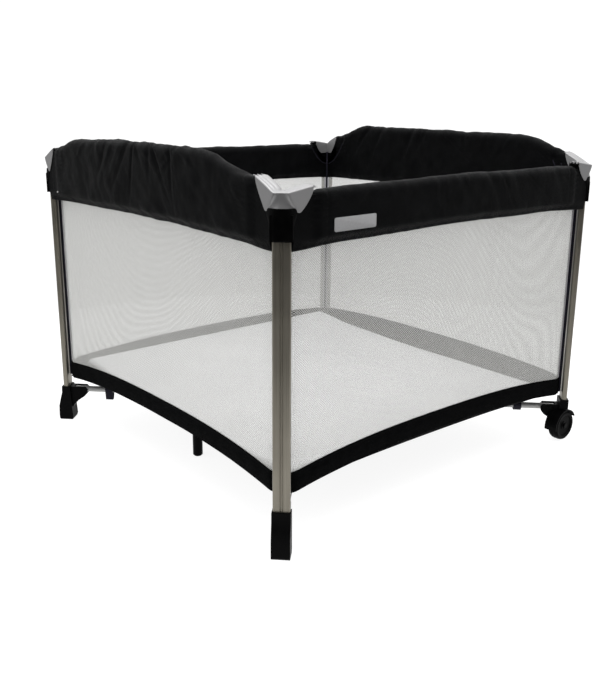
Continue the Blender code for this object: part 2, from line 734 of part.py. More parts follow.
def cover_outline(crown):
    """The padded cover from the side, as (x, z): its top is flat, or a long crown between the corners."""
    points = [(-COVER_HALF, COVER_BOTTOM), (COVER_HALF, COVER_BOTTOM)]
    steps = 16
    for i in range(steps + 1):
        x = COVER_HALF * (1 - 2 * i / steps)
        drop = abs(x / COVER_HALF) ** 4 * (COVER_CROWN - COVER_CROWN_END)
        points.append((x, COVER_CROWN - drop if crown else COVER_LOW_TOP))
    return points


def make_cover(side, frame, material):
    y = -HALF_SPAN - RAIL_OUTWARD
    outline = cover_outline(side in ("left", "right"))
    bm = prism(outline, across_y, y - COVER_HALF_THICKNESS, y + COVER_HALF_THICKNESS)
    cover = new_object(side + "_rail_cover", bm, frame, (0.0, y, RAIL_Z), material)
    channel = box_outline(-0.5, 0.5, 0.5, COVER_ROOF)
    cut_shape(cover, prism(channel, across_y, y - COVER_CHANNEL, y + COVER_CHANNEL), frame)
    return cover


def make_floor_cloth(frame, material):
    outline = rounded_box(FLOOR_HALF, FLOOR_HALF, 0.020, 3)
    return new_object("floor_cloth", prism(outline, upright, FLOOR_BOTTOM, FLOOR_TOP), frame, (0.0, 0.0, 0.0),
                      material)


def make_mattress(frame, material):
    """Four boards in one padded sleeve, hinged where the sleeve is sewn through between them."""
    names = ("left", "middle_left", "middle_right", "right")
    width = 2 * PAD_HALF / len(names)
    for i, name in enumerate(names):
        start = -PAD_HALF + i * width
        low = start + (PAD_SEAM if i else 0.0)
        high = start + width - (PAD_SEAM if i < 3 else 0.0)
        outline = box_outline(low, high, -PAD_HALF, PAD_HALF)
        hinge_z = PAD_TOP + PAD_HINGE_GAP if i % 2 else PAD_BOTTOM - PAD_HINGE_GAP
        origin = (start, 0.0, hinge_z) if i else (start, *PAD_LIFT_AXIS)
        panel = prism(outline, upright, PAD_BOTTOM, PAD_TOP)
        new_object("mattress_panel_" + name, panel, frame, origin, material)


# ---------------------------------------------------------------- assembly


def build():
    clear_scene()
    materials = make_materials()
    centre = make_empty("pen_centre", (0.0, 0.0, 0.0), 0.0)
    black = materials["black_plastic"]
    for k, corner in enumerate(CORNERS):
        turn = k * QUARTER
        x = -HALF_SPAN * (cos(turn) - sin(turn))
        y = -HALF_SPAN * (cos(turn) + sin(turn))
        frame = make_empty("corner_" + corner, (x, y, 0.0), turn)
        diagonal = make_empty("diagonal_" + corner, (0.0, 0.0, 0.0), turn + QUARTER / 2)
        if corner in WHEELED:
            make_post(corner, frame, 0.0984, materials["aluminium"])
            make_wheel_bracket(corner, frame, black)
            make_wheel(corner, frame, materials)
        else:
            make_post(corner, frame, 0.012, materials["aluminium"])
            make_foot(corner, frame, black)
        make_housing(corner, frame, black)
        make_cap(corner, frame, k % 2 == 1, materials["grey_plastic"])
        make_floor_tube(corner, diagonal, materials["steel"])
    for k, (side, first, second) in enumerate(SIDES):
        frame = make_empty("side_" + side, (0.0, 0.0, 0.0), k * QUARTER)
        make_rail_half(side + "_rail_" + first, frame, -1, materials["steel"])
        make_rail_half(side + "_rail_" + second, frame, 1, materials["steel"])
        make_latch(side, frame, materials)
        make_cover(side, frame, materials["black_fabric"])
        make_wall(side, frame, materials["mesh_fabric"])
    make_hub(centre, black)
    make_pull_strap(centre, materials["black_fabric"])
    for k, side in enumerate(("left", "right")):
        frame = make_empty("arm_" + side, (0.0, 0.0, 0.0), 2 * k * QUARTER)
        make_support_arm(side, frame, materials)
    make_floor_cloth(centre, materials["black_fabric"])
    make_mattress(centre, materials["pad_fabric"])


build()
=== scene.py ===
"""The playpen's looks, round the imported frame: padded covers, netting, band, mattress and mouldings.

Metres, +Z up. Corner k and side k repeat every quarter turn: corner 0 is front left, and side 0 is the
front, from corner 0 to corner 1. A side's own coordinates are x along it, d outward from the line
between its two posts, and z. u is the distance along a side from the nearer post's axis.
"""

import json
import random
from math import cos, exp, pi, radians, sin, sqrt

import bmesh
import bpy
import numpy as np
from mathutils import Matrix, Vector, noise


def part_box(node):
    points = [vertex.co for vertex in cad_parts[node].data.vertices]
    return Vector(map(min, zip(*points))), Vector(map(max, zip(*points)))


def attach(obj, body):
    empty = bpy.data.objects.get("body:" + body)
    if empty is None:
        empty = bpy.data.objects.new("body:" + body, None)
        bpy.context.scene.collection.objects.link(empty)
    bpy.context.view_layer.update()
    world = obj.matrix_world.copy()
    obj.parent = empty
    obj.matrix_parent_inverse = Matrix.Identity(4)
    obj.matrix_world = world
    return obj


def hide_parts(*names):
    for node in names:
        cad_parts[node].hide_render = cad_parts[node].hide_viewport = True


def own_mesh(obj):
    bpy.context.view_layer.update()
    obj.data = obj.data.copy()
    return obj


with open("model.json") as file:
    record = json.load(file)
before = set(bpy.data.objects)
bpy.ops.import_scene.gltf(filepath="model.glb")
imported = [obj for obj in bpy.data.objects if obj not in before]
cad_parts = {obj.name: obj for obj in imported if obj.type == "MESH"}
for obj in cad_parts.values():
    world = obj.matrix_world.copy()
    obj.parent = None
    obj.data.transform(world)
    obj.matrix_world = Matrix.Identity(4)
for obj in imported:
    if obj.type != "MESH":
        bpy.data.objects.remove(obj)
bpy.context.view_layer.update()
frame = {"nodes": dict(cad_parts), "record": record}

ROOT2 = sqrt(2)
CORNERS = ("front_left", "front_right", "back_right", "back_left")
# Each side, and the names of its halves at the corner of the same number and at the next one.
SIDES = (("front", "left", "right"), ("right", "front", "back"),
         ("back", "right", "left"), ("left", "back", "front"))
WHEELED = ("front_right", "back_right")


def middle(node):
    low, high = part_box(node)
    return (low + high) / 2


# Driving places, read from the frame.
HALF = -middle("post_front_left").x  # pen centre to a post's axis
RAIL_Z = middle("front_rail_left").z
TUBE_Z = middle("floor_tube_front_left").z
HOUSING_BOTTOM, HOUSING_TOP = (end.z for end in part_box("corner_housing_front_left"))
PAD_LOW, PAD_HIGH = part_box("mattress_panel_left")
PAD_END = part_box("mattress_panel_right")[1]
WALL_LOW, WALL_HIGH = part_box("front_mesh_wall")
CLOTH_LOW, CLOTH_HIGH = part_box("floor_cloth")
CROWN_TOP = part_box("right_rail_cover")[1].z
HEM_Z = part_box("front_rail_cover")[0].z
WHEEL_BOX = {name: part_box("wheel_" + name) for name in WHEELED}

# The cloth of each side: its band rises in an arch, and the whole cloth is drawn in a little.
BAND_HEIGHT = 0.043
BAND_END_TOP = WALL_LOW.z + BAND_HEIGHT
WALL_TOP = WALL_HIGH.z + 0.006
ARCH, ARCH_POWER, BOW = 0.023, 2.6, 0.0125
SEAM = 0.0105  # the corner seam lies this far inside a post's axis, along both sides
HEM_WIDTH = 0.0080
COVER_START = 0.0125
CAP_ARM_END = {False: 0.058, True: 0.053}  # on a level side, and on a climbing one
COVER_SPLIT = 0.062  # u where the cover passes from the corner to the rail
LATCH_SPLIT = 0.045  # half the length of the stretch that stays with the latch
LABEL_X, LABEL_Z = -0.3225, 0.6655

# A cover's outer and inner faces lie this far from the side's line, and it grows until u is COVER_FULL.
COVER_OUT, COVER_IN = 0.0192, 0.0115
COVER_GROWTH, COVER_FULL = 0.0040, 0.079
COVER_STEPS = 24
CROWN_FOOT = 0.757
NET_PITCH = 0.0050

# The piping on the covers' inner faces: a curve under each cap, from the corner seam outward.
PIPING_LOW, PIPING_RISE, PIPING_REACH = 0.669, 0.071, 0.0765
PIPING_INSIDE = 0.0112
PIPING_END = SEAM + PIPING_REACH
PIPING_RECESS = 0.0050
SEAM_REACH = 0.0170  # a corner seam's middle, and the post's inner face, along the diagonal
POST_BACK = 0.0085

POST_R, POST_W = 0.007, 0.018  # half a post's section, along and across the diagonal
PAD_HALF = -PAD_LOW.x
PAD_STEP = 0.0055
PAD_ROUND = 0.009
RIM = HALF - 0.0125  # the floor cloth's edge
STRAP_W, STRAP_THICK, STRAP_REACH = 0.0105, 0.0013, 0.120
STRAP_LOOP = 0.0088

# ---- helpers


def smooth(t):
    t = min(1.0, max(0.0, t))
    return t * t * (3 - 2 * t)


def ramp(value, start, end):
    return smooth((value - start) / (end - start))


def dent(distance, width):
    """A soft bump or groove: 1 at its middle and near 0 beyond its width."""
    return exp(-((distance / width) ** 2))


def wobble(x, y, z):
    """Smooth noise at a point, from -1 to 1."""
    return noise.noise(Vector((x, y, z)))


def side_point(k, x, d, z):
    """A side's own x, outward d and z as a point in the pen's frame."""
    point = (x, -HALF - d)
    for _ in range(k):
        point = (-point[1], point[0])
    return (point[0], point[1], z)


def corner_matrix(k):
    """The frame of corner k: x runs inward along side k, y inward along the side before it."""
    turn = Matrix.Rotation(k * pi / 2, 4, "Z")
    return turn @ Matrix.Translation((-HALF, -HALF, 0.0))


def diagonal_point(r, w, z):
    """A corner's own outward r, sideways w and z, in the corner's frame."""
    return Vector(((w - r) / ROOT2, (-w - r) / ROOT2, z))


def grid_faces(rows, columns, closed):
    faces = []
    for i in range(rows - 1):
        for j in range(columns if closed else columns - 1):
            n = (j + 1) % columns
            faces.append((i * columns + j, i * columns + n, (i + 1) * columns + n, (i + 1) * columns + j))
    return faces


def grid_normals(grid):
    """A normal for each point of a grid of points (rows, columns, 3) whose rows are rings."""
    along = np.gradient(grid, axis=0)
    across = np.roll(grid, -1, axis=1) - np.roll(grid, 1, axis=1)
    normals = np.cross(across, along)
    return normals / np.maximum(np.linalg.norm(normals, axis=2, keepdims=True), 1e-9)


def assign(thing, **values):
    for key, value in values.items():
        setattr(thing, key, value)
    return thing


def linked(name, data):
    """A new object in the scene."""
    made = bpy.data.objects.new(name, data)
    bpy.context.scene.collection.objects.link(made)
    return made


def mesh_object(name, points, faces, normals=None):
    mesh = bpy.data.meshes.new(name)
    mesh.from_pydata([tuple(p) for p in points], [], faces)
    mesh.shade_smooth()
    if normals is not None:
        mesh.normals_split_custom_set_from_vertices([tuple(n) for n in normals])
    return linked(name, mesh)


def from_bmesh(name, bm):
    mesh = bpy.data.meshes.new(name)
    bm.to_mesh(mesh)
    bm.free()
    return linked(name, mesh)


def bmesh_object(name, bm, sharp=35):
    bmesh.ops.recalc_face_normals(bm, faces=bm.faces)
    made = from_bmesh(name, bm)
    made.data.shade_smooth()
    made.data.set_sharp_from_angle(angle=radians(sharp))
    return made


def join_rings(bm, rings, closed=True):
    """Faces between each ring of vertices and the next."""
    for a, b in zip(rings, rings[1:]):
        for i in range(len(a) if closed else len(a) - 1):
            j = (i + 1) % len(a)
            bm.faces.new((a[i], a[j], b[j], b[i]))


def close_ends(bm, rings):
    bm.faces.new(rings[0][::-1])
    bm.faces.new(rings[-1])


def end_quads(start, columns, flip):
    """Faces that close the end of a flat tube, from one half of its ring of points to the other."""
    quads = []
    for j in range(columns // 2 - 1):
        quad = (start + j, start + j + 1, start + columns - 2 - j, start + columns - 1 - j)
        quads.append(quad[::-1] if flip else quad)
    return quads


def closed_sheet(name, upper, lower, sharp):
    """A sheet with thickness, from the grids of points of its two faces."""
    ring = np.concatenate([upper, lower[:, ::-1]], axis=1)
    rows, columns = ring.shape[:2]
    faces = grid_faces(rows, columns, True)
    faces += end_quads(0, columns, True) + end_quads((rows - 1) * columns, columns, False)
    bm = bmesh.new()
    verts = [bm.verts.new(p) for p in ring.reshape(-1, 3)]
    for face in faces:
        bm.faces.new([verts[i] for i in face])
    return bmesh_object(name, bm, sharp)


def apply_modifiers(obj):
    """Fixes an object's modifiers into its mesh."""
    graph = bpy.context.evaluated_depsgraph_get()
    made = bpy.data.meshes.new_from_object(obj.evaluated_get(graph))
    obj.modifiers.clear()
    obj.data = made


def thin_shell(name, bm, facing, thickness, levels, crease=0.0):
    """An open surface thickened away from the side that faces this way, and smoothed."""
    bm.normal_update()
    if sum(f.normal.dot(facing) * f.calc_area() for f in bm.faces) < 0:
        bmesh.ops.reverse_faces(bm, faces=bm.faces)
    made = from_bmesh(name, bm)
    shell = made.modifiers.new("shell", "SOLIDIFY")
    assign(shell, thickness=thickness, offset=-1.0, edge_crease_rim=crease)
    assign(made.modifiers.new("fine", "SUBSURF"), levels=levels, render_levels=levels)
    apply_modifiers(made)
    made.data.shade_smooth()
    return made


def settle(obj, body, material, slot, replaced=()):
    """Gives a piece its material and its body, and hides the nodes that it replaces. The slot is not used.
    """
    obj.data.materials.clear()
    obj.data.materials.append(material)
    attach(obj, body)
    if replaced:
        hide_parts(*replaced)


def tube_mesh(bm, path, radius):
    """A round tube with closed ends along a path of points."""
    rings = []
    for i, point in enumerate(path):
        ahead = path[min(i + 1, len(path) - 1)] - path[max(i - 1, 0)]
        aside = ahead.cross(Vector((0, 0, 1))).normalized()
        up = aside.cross(ahead).normalized()
        angles = [2 * pi * s / 8 for s in range(8)]
        rings.append([bm.verts.new(point + radius * (cos(a) * aside + sin(a) * up)) for a in angles])
    join_rings(bm, rings)
    close_ends(bm, rings)


def turned(bm, profile, steps, spot):
    """Rings of vertices from a profile of (radius, out) turned about an axis. spot places a point."""
    angles = [2 * pi * s / steps for s in range(steps)]
    return [[bm.verts.new(spot(r * cos(a), out, r * sin(a))) for a in angles] for r, out in profile]


def rounded_outline(half_a, half_b, radius, steps):
    """Points (a, b) round a rectangle with round corners."""
    ring = []
    for turn, (sign_a, sign_b) in enumerate(((1, 1), (-1, 1), (-1, -1), (1, -1))):
        for i in range(steps + 1):
            angle = (turn + i / steps) * pi / 2
            ring.append((sign_a * (half_a - radius) + radius * cos(angle),
                         sign_b * (half_b - radius) + radius * sin(angle)))
    return ring


# ---- materials


class Nodes:
    """Short ways to add nodes to a tree."""

    def __init__(self, tree):
        self.tree = tree

    def link(self, a, b):
        self.tree.links.new(a, b)

    def node(self, kind, inputs, **settings):
        """Adds a node, links or sets each of its inputs, and gives its outputs."""
        made = assign(self.tree.nodes.new("ShaderNode" + kind), **settings)
        for key, value in inputs.items():
            if isinstance(value, bpy.types.NodeSocket):
                self.link(value, made.inputs[key])
            else:
                made.inputs[key].default_value = value
        return made.outputs

    def math(self, operation, *values):
        return self.node("Math", dict(enumerate(values)), operation=operation)[0]

    def spread(self, value, low, high, to_low=0.0, to_high=1.0, **settings):
        """Maps a value from one span to another, clamped."""
        inputs = {"From Min": low, "From Max": high, "To Min": to_low, "To Max": to_high, "Value": value}
        return self.node("MapRange", inputs, **settings)["Result"]


class Paint(Nodes):
    """A Principled material, and the nodes that give it its detail."""

    def __init__(self, name, **numbers):
        self.material = bpy.data.materials.new(name)
        self.material.use_nodes = True
        super().__init__(self.material.node_tree)
        self.shader = self.tree.nodes["Principled BSDF"].inputs
        for socket, value in numbers.items():
            self.shader[socket.replace("_", " ")].default_value = value
        self.place = self.node("TexCoord", {})["Object"]

    def noise(self, scale, detail, stretch=(1, 1, 1)):
        """Noise over the object, with its own scale along each axis."""
        place = self.node("Mapping", {"Scale": stretch, "Vector": self.place})["Vector"]
        return self.node("TexNoise", {"Scale": scale, "Detail": detail, "Vector": place})["Fac"]

    def blend_colours(self, fac, first, second):
        inputs = {"Factor": fac, "A": (*first, 1.0), "B": (*second, 1.0)}
        self.link(self.node("Mix", inputs, data_type="RGBA")["Result"], self.shader["Base Color"])

    def bumps(self, *layers):
        """Bump layers of (height, strength, distance), each on top of the one before."""
        below = {}
        for height, strength, distance in layers:
            inputs = {"Strength": strength, "Distance": distance, "Height": height}
            below = {"Normal": self.node("Bump", inputs | below)["Normal"]}
        self.link(below["Normal"], self.shader["Normal"])

    def upright(self):
        """Two lengths on an upright side: along it, and up."""
        parts = self.node("SeparateXYZ", {0: self.place})
        return self.math("ADD", parts["X"], parts["Y"]), parts["Z"]

    def threads(self, pitch):
        """Two crossing waves of threads on an upright side, from -1 to 1."""
        waves = [self.math("SINE", self.math("MULTIPLY", way, 2 * pi / pitch)) for way in self.upright()]
        return self.math("MULTIPLY", *waves)


def look(name, layers, colours, rough=None, bumps=(), **numbers):
    """A material made of layers: a noise's scale, detail and stretch, or a weave's pitch.

    colours is a layer, two colours and the span of the layer between them. rough is a layer, two roughnesses
    and the span's end. bumps are layers with strengths and distances.
    """
    paint = Paint(name, **numbers)
    made = {key: paint.threads(v) if isinstance(v, float) else paint.noise(*v) for key, v in layers.items()}
    layer, first, second, *span = colours
    paint.blend_colours(paint.spread(made[layer], *span) if span else made[layer], first, second)
    if rough:
        layer, low, high, end = rough
        paint.link(paint.spread(made[layer], 0.3, end, low, high), paint.shader["Roughness"])
    paint.bumps(*((made[layer], strength, distance) for layer, strength, distance in bumps))
    return paint.material


def netting():
    """Fine knitted netting: pale, in an open diamond pattern that is nearly clear where its threads part."""
    paint = Paint("netting", Roughness=0.7, Specular_IOR_Level=0.2)
    along, up = paint.upright()
    slants = [paint.math(way, along, up) for way in ("ADD", "SUBTRACT")]
    waves = [paint.math("SINE", paint.math("MULTIPLY", slant, pi / NET_PITCH)) for slant in slants]
    crossing = paint.math("ABSOLUTE", paint.math("MULTIPLY", *waves))
    thread = paint.spread(crossing, 0.06, 0.40, 0.86, 0.16)
    paint.blend_colours(paint.noise(900, 2), (0.53, 0.53, 0.515), (0.64, 0.64, 0.62))
    paint.link(thread, paint.shader["Alpha"])
    paint.bumps((thread, 0.4, 0.0003))
    return paint.material


def binding_tape():
    paint = Paint("binding_tape", Roughness=0.75, Specular_IOR_Level=0.15)
    paint.blend_colours(paint.noise(300, 2), (0.006, 0.0055, 0.011), (0.013, 0.012, 0.020))
    ribs = paint.node("TexWave", {"Scale": 260, "Vector": paint.place}, bands_direction="Z")["Fac"]
    paint.bumps((ribs, 0.6, 0.0003))
    return paint.material


def mattress_cloth():
    paint = Paint("mattress_cloth", Roughness=0.82, Sheen_Weight=0.04)
    soft = paint.noise(5.5, 3)
    knit = paint.node("TexVoronoi", {"Scale": 520, "Vector": paint.place}, feature="F1")["Distance"]
    paint.blend_colours(paint.spread(soft, 0.3, 0.7), (0.565, 0.565, 0.573), (0.63, 0.63, 0.634))
    paint.bumps((soft, 0.35, 0.012), (paint.noise(38, 4), 0.3, 0.0025), (knit, 0.35, 0.0004))
    return paint.material


def moulded_black(name, roughness, grain):
    return look(name, {"rub": (35, 5), "spark": (grain, 3)},
                ("rub", (0.0007, 0.0007, 0.0008), (0.0018, 0.0018, 0.0019), 0.35, 0.75),
                ("rub", roughness - 0.06, roughness + 0.1, 0.7), [("spark", 0.3, 0.00025)],
                Specular_IOR_Level=0.04)


COVER = look("cover_cloth", {"slub": (900, 2, (1, 1, 0.35)), "worn": (26, 4), "weave": 0.0011},
             ("worn", (0.0018, 0.0019, 0.0021), (0.0034, 0.0036, 0.0039), 0.3, 0.7),
             ("slub", 0.36, 0.52, 0.7),
             [("worn", 0.25, 0.0015), ("slub", 0.35, 0.0003), ("weave", 0.5, 0.0002)],
             Sheen_Weight=0.03, Sheen_Roughness=0.3, Specular_IOR_Level=0.02)
BAND = look("band_cloth", {"rumple": (48, 3, (1, 1, 2.2)), "weave": 0.0014},
            ("rumple", (0.0009, 0.0010, 0.0011), (0.0020, 0.0021, 0.0023), 0.3, 0.7), None,
            [("rumple", 0.5, 0.002), ("weave", 0.5, 0.00025)],
            Roughness=0.85, Sheen_Weight=0.002, Specular_IOR_Level=0.02)
NET = netting()
HEM = look("hem_tape", {"fleck": (160, 3), "weave": 0.0012},
           ("fleck", (0.40, 0.395, 0.43), (0.52, 0.515, 0.55)), None, [("weave", 0.6, 0.0003)],
           Roughness=0.8, Sheen_Weight=0.2)
BINDING = binding_tape()
MATTRESS = mattress_cloth()
ALUMINIUM = look("drawn_aluminium", {"lines": (420, 3, (1, 1, 0.012)), "smudge": (14, 4)},
                 ("lines", (0.150, 0.138, 0.113), (0.245, 0.228, 0.190)), ("smudge", 0.29, 0.47, 0.75),
                 [("lines", 0.25, 0.0002)], Metallic=0.8, Specular_IOR_Level=0.3)
COATED = look("grey_coat", {"peel": (650, 2), "haze": (20, 4)},
              ("haze", (0.29, 0.29, 0.285), (0.38, 0.38, 0.375)), ("peel", 0.34, 0.48, 0.7),
              [("peel", 0.2, 0.0002)], Metallic=0.35)
BLACK = moulded_black("moulded_black", 0.40, 900)
TYRE = moulded_black("wheel_black", 0.50, 500)
SILVER = look("silver_plastic", {"fleck": (2600, 2), "haze": (22, 4)},
              ("fleck", (0.195, 0.193, 0.195), (0.30, 0.298, 0.302)), ("haze", 0.28, 0.42, 0.7),
              [("haze", 0.06, 0.001), ("fleck", 0.1, 0.0001)],
              Metallic=0.5, Coat_Weight=0.1, Coat_Roughness=0.2)
ZINC = look("zinc", {"scratch": (300, 4)}, ("scratch", (0.55, 0.55, 0.54), (0.55, 0.55, 0.54)),
            ("scratch", 0.22, 0.42, 0.7), [("scratch", 0.15, 0.0001)], Metallic=1.0)
LABEL = look("label_cloth", {"fleck": (200, 3), "weave": 0.0009},
             ("fleck", (0.28, 0.28, 0.285), (0.36, 0.36, 0.365)), None, [("weave", 0.5, 0.0002)],
             Roughness=0.6)

# ---- rail covers


def climbing(side):
    return side in ("left", "right")


def cover_top(side, x):
    """The height of a padded cover's top at a place along its side, under the cap's arm and beyond it."""
    u = HALF - abs(x)
    plain = HOUSING_TOP + 0.0014
    if not climbing(side):
        hump = 0.005 * exp(-((x / 0.16) ** 2)) + 0.002 * exp(-(((abs(x) - 0.3) / 0.1) ** 2))
        return plain + 0.0072 * ramp(u, CAP_ARM_END[False] - 0.001, COVER_FULL) + hump
    if u < CAP_ARM_END[True]:
        return plain + 0.0275 * min(1.0, max(0.0, (u - 0.018) / 0.035))
    first, second = ramp(HALF + x, 0.03, 0.195), ramp(HALF - x, 0.03, 0.195)
    if side == "left":
        first *= 0.79 + 0.21 * ramp(HALF + x, 0.17, 0.42)
        second = ramp(HALF - x, 0.06, 0.275)
    return CROWN_FOOT + (CROWN_TOP + 0.002 - CROWN_FOOT) * first * second


def piping_height(u):
    return PIPING_LOW + PIPING_RISE * ((u - SEAM) / PIPING_REACH) ** 2


def before_piping_end(u):
    """1 up to the end of the piping that runs below the cap, and 0 beyond it."""
    return 1 - ramp(u, PIPING_END, PIPING_END + 0.004)


def cover_ring(side, x):
    """Points (d, z) round the cover, from the hem up the outer face, over the top and down inside."""
    u = HALF - abs(x)
    top, hem = cover_top(side, x), hem_height(x)
    outward = COVER_OUT + COVER_GROWTH * ramp(u, CAP_ARM_END[climbing(side)] - 0.001, COVER_FULL)
    inward = PIPING_RECESS * before_piping_end(u) - COVER_IN
    centre, radius = (outward + inward) / 2, (outward - inward) / 2
    roll = min(radius, 0.45 * (top - RAIL_Z + 0.02))
    shoulder = top - roll
    fold = 0.0145 - 0.0095 * ramp(u, 0.02, 0.12)
    hem_inside = cloth_at(x, 1.0)[0] - 0.0016
    outside, over, inside = [], [], []
    for i in range(COVER_STEPS):
        v = i / (COVER_STEPS - 1)
        z = hem + (shoulder - hem) * v
        belly = 0.0012 * sin(pi * v) * ramp(u, 0.07, 0.15)
        outside.append((fold + (outward - fold) * ramp(z, hem, hem + 0.022) + belly, z))
        above = ramp(z - piping_height(u), -0.0015, 0.0015)
        face = PIPING_RECESS * above * before_piping_end(u) - COVER_IN
        inside.append((hem_inside + (face - hem_inside) * ramp(z, hem, hem + 0.018), z))
    for i in range(1, 9):
        angle = pi * i / 9
        over.append((centre + radius * cos(angle), shoulder + roll * sin(angle)))
    return outside + over + inside[::-1]


def hem_height(x):
    """The height of a cover's lower edge, which rises a little from the corners to the middle."""
    u = HALF - abs(x)
    return HEM_Z + 0.0040 * (ramp(u, 0.0, 0.17) - 1 + ramp(u, 0.15, HALF))


def pleats(rng):
    """Creases over a cover: where each starts, how it leans, how wide, deep and long it is."""
    made = []
    for _ in range(16):
        x = rng.gauss(0.0, 0.14)
        lean = rng.uniform(-0.7, 0.7) + 1.6 * x
        made.append((x, lean, rng.uniform(0.004, 0.011), rng.uniform(-0.0042, 0.0026),
                     rng.uniform(0.03, 0.10)))
    for _ in range(14):
        made.append((rng.uniform(-0.40, 0.40), rng.uniform(-1.6, 1.6), rng.uniform(0.005, 0.013),
                     rng.uniform(-0.0030, 0.0024), rng.uniform(0.03, 0.09)))
    return made


def cover_relief(k, x, z, top, hem, folds, outer):
    """How far the cloth of side k's cover stands off its plain shape, at one place."""
    side, u = SIDES[k][0], HALF - abs(x)
    crowned = climbing(side)
    seed = k * 7.3 + (0.0 if outer else 3.1)
    broad = wobble(x * 13, z * 15, seed)
    medium = wobble(x * 34 + z * 12, z * 30, seed + 5)
    fine = wobble(x * 95, z * 70, seed + 9)
    free = ramp(u, 0.062, 0.11)
    if side == "front" and outer:  # flat round the label
        free *= ramp(max(abs(x - LABEL_X) / 0.075, abs(z - LABEL_Z) / 0.032), 0.85, 1.5)
    rumple, strength = (1.0, 0.8) if crowned else (0.6, 0.22)
    height = free * rumple * (0.0030 * broad + 0.0014 * medium + 0.0003 * fine)
    below = top - z
    for start, lean, width, depth, length in folds:
        across = x - start - lean * below
        if abs(across) <= 3 * width:
            shown = strength * (0.3 + 0.7 * ramp(below, 0.0, 0.022))
            height += free * shown * depth * dent(across, width) * dent(below, length)
    gather = ramp(u, 0.16, 0.066) * ramp(u, 0.052, 0.062)
    height += 0.0010 * gather * sin(z * 2 * pi / 0.0125 + 3 * broad) * ramp(z, hem + 0.02, hem + 0.05)
    above_hem = z - hem
    height -= 0.0009 * dent(above_hem - 0.0095, 0.0011)
    height += 0.0005 * dent(above_hem - 0.0048, 0.0035) * (1 + 0.5 * sin(x * 2 * pi / 0.021))
    if not crowned:
        height -= 0.0007 * dent(u - 0.093, 0.0016)
    return height


def cover_grid(k):
    """The whole cover of side k as a grid of points in the pen's frame, and the rows where it is cut."""
    side = SIDES[k][0]
    folds = pleats(random.Random(40 + k))
    end = HALF - COVER_START
    cuts = [-end, COVER_SPLIT - HALF, -LATCH_SPLIT, LATCH_SPLIT, HALF - COVER_SPLIT, end]
    stations, marks = [-end], [0]
    for low, high in zip(cuts, cuts[1:]):
        count = max(16, round((high - low) / 0.0040))
        stations += [low + (high - low) * (i + 1) / count for i in range(count)]
        marks.append(len(stations) - 1)
    local = np.array([[(x, d, z) for d, z in cover_ring(side, x)] for x in stations])
    mirror = np.array((1.0, -1.0, 1.0))
    outward = -grid_normals(local * mirror) * mirror
    if ((local - local.mean(axis=1, keepdims=True)) * outward).sum() < 0:
        outward = -outward
    heights = np.zeros(local.shape[:2])
    count = local.shape[1]
    for i, x in enumerate(stations):
        top, hem = cover_top(side, x), hem_height(x)
        for j in range(count):
            heights[i, j] = cover_relief(k, x, local[i, j, 2], top, hem, folds, j < count // 2)
    local = local + outward * heights[..., None]
    return np.array([[side_point(k, *p) for p in ring] for ring in local]), marks


def closed_stretch(name, grid, normals):
    """One stretch of a cover, with its cut ends closed by faces of their own."""
    rows, columns = grid.shape[:2]
    points, shading = grid.reshape(-1, 3).tolist(), normals.reshape(-1, 3).tolist()
    faces = grid_faces(rows, columns, True)
    for row, beside in ((0, 1), (rows - 1, rows - 2)):
        direction = (grid[row] - grid[beside]).mean(axis=0)
        direction = direction / np.linalg.norm(direction)
        faces += end_quads(len(points), columns, row == 0)
        points += grid[row].tolist()
        shading += [direction.tolist()] * columns
    return mesh_object(name, points, faces, shading)


def make_covers():
    """Each side's cover in five stretches: its ends stay with the corners, the rest with rails and latch."""
    for k, (side, first, second) in enumerate(SIDES):
        grid, marks = cover_grid(k)
        normals = grid_normals(grid)
        if ((grid - grid.mean(axis=1, keepdims=True)) * normals).sum() < 0:
            grid, normals = grid[:, ::-1], -normals[:, ::-1]
        node = side + "_rail_cover"
        here, there = "corner_" + CORNERS[k], "corner_" + CORNERS[(k + 1) % 4]
        stretches = (("cover_end_" + first, here), ("cover_" + first, side + "_rail_" + first),
                     ("cover_middle", side + "_latch"),
                     ("cover_" + second, side + "_rail_" + second), ("cover_end_" + second, there))
        for (name, body), start, stop in zip(stretches, marks, marks[1:]):
            piece = closed_stretch(side + "_" + name, grid[start:stop + 1], normals[start:stop + 1])
            settle(piece, body, COVER, "cover_fabric", (node,))
            if body not in (here, there):
                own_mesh(piece)


# ---- mesh walls and band


def cloth_at(x, part):
    """The cloth's d and z. part is -1 at its lower edge, 0 at the top of the band and 1 under the cover."""
    u = HALF - abs(x)
    along = 1 - min(1.0, abs(x) / (HALF - 0.021)) ** ARCH_POWER
    band_top = BAND_END_TOP + ARCH * along
    corner = -SEAM * (1 - ramp(u, SEAM, 0.042))
    if part < 0:
        return corner - BOW * along, band_top + BAND_HEIGHT * part
    return corner - BOW * along * (1 - part), band_top + (WALL_TOP - band_top) * part


def strip(k, name, body, cloth, xs, parts, place, thickness):
    """A sheet between places along a side and parts of the cloth's height; place(x, part) gives d and z."""
    outer = np.array([[(x, *place(x, part)) for x in xs] for part in parts])
    inner = outer - np.array((0.0, thickness, 0.0))
    outer, inner = (np.array([[side_point(k, *p) for p in row] for row in face]) for face in (outer, inner))
    piece = closed_sheet(name, outer, inner, 50)
    settle(piece, body, *cloth, (SIDES[k][0] + "_mesh_wall",))
    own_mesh(piece)
    return piece


def spaced(low, high, step):
    count = max(2, round(abs(high - low) / step) + 1)
    return [low + (high - low) * i / (count - 1) for i in range(count)]


def make_walls():
    for k, (side, first, second) in enumerate(SIDES):
        make_wall_half(k, side, first, -1)
        make_wall_half(k, side, second, 1)
        make_seam(k, side + "_mesh_wall")


